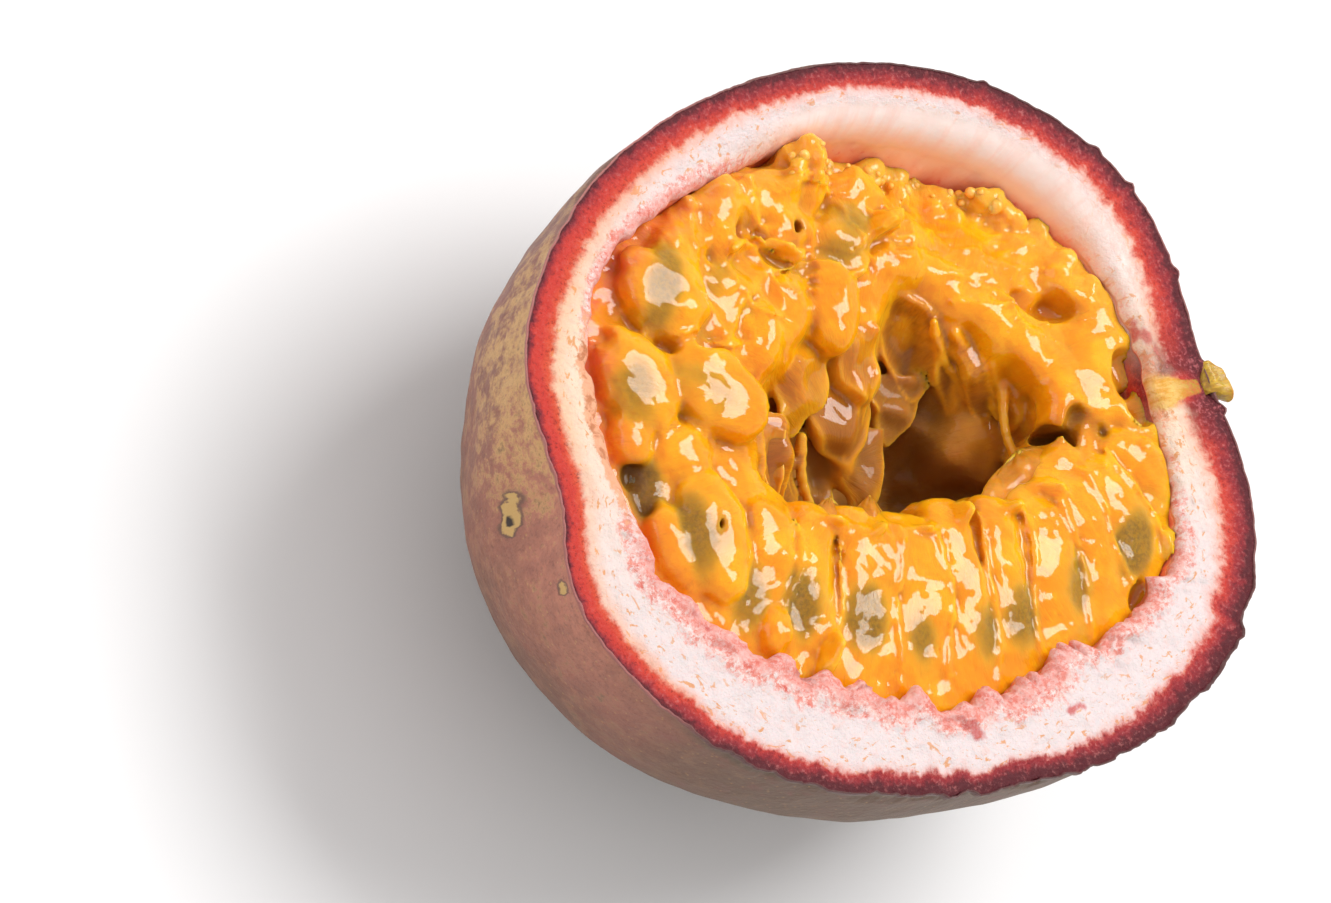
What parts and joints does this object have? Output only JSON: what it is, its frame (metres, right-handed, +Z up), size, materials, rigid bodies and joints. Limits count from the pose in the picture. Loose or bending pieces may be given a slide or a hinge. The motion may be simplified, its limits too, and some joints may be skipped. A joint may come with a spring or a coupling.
{
  "type": "passion fruit half",
  "caption": "Half of a passion fruit cut lengthwise, lying on its skin with the cut face up: thick peel, seed sacs round an open hollow, and the halved stump of the stem.",
  "frame": {"origin": "middle of the small flat spot on the skin that the half lies on", "axes": "+Z up, out of the cut face; +X towards the stem end; +Y across the fruit"},
  "size_m": [0.0621, 0.0536, 0.0283],
  "materials": {
    "peel": "dull purple-brown skin, with a dark red rind and a moist white pith where it is cut",
    "pulp": "wet, glossy, translucent orange-yellow sacs with dark seeds inside",
    "stem": "dull yellow-olive, cream where it is cut"
  },
  "bodies": {
    "root": {"shell": "peel", "pulp": "pulp", "stem_stub": "stem"}
  },
  "joints": []
}
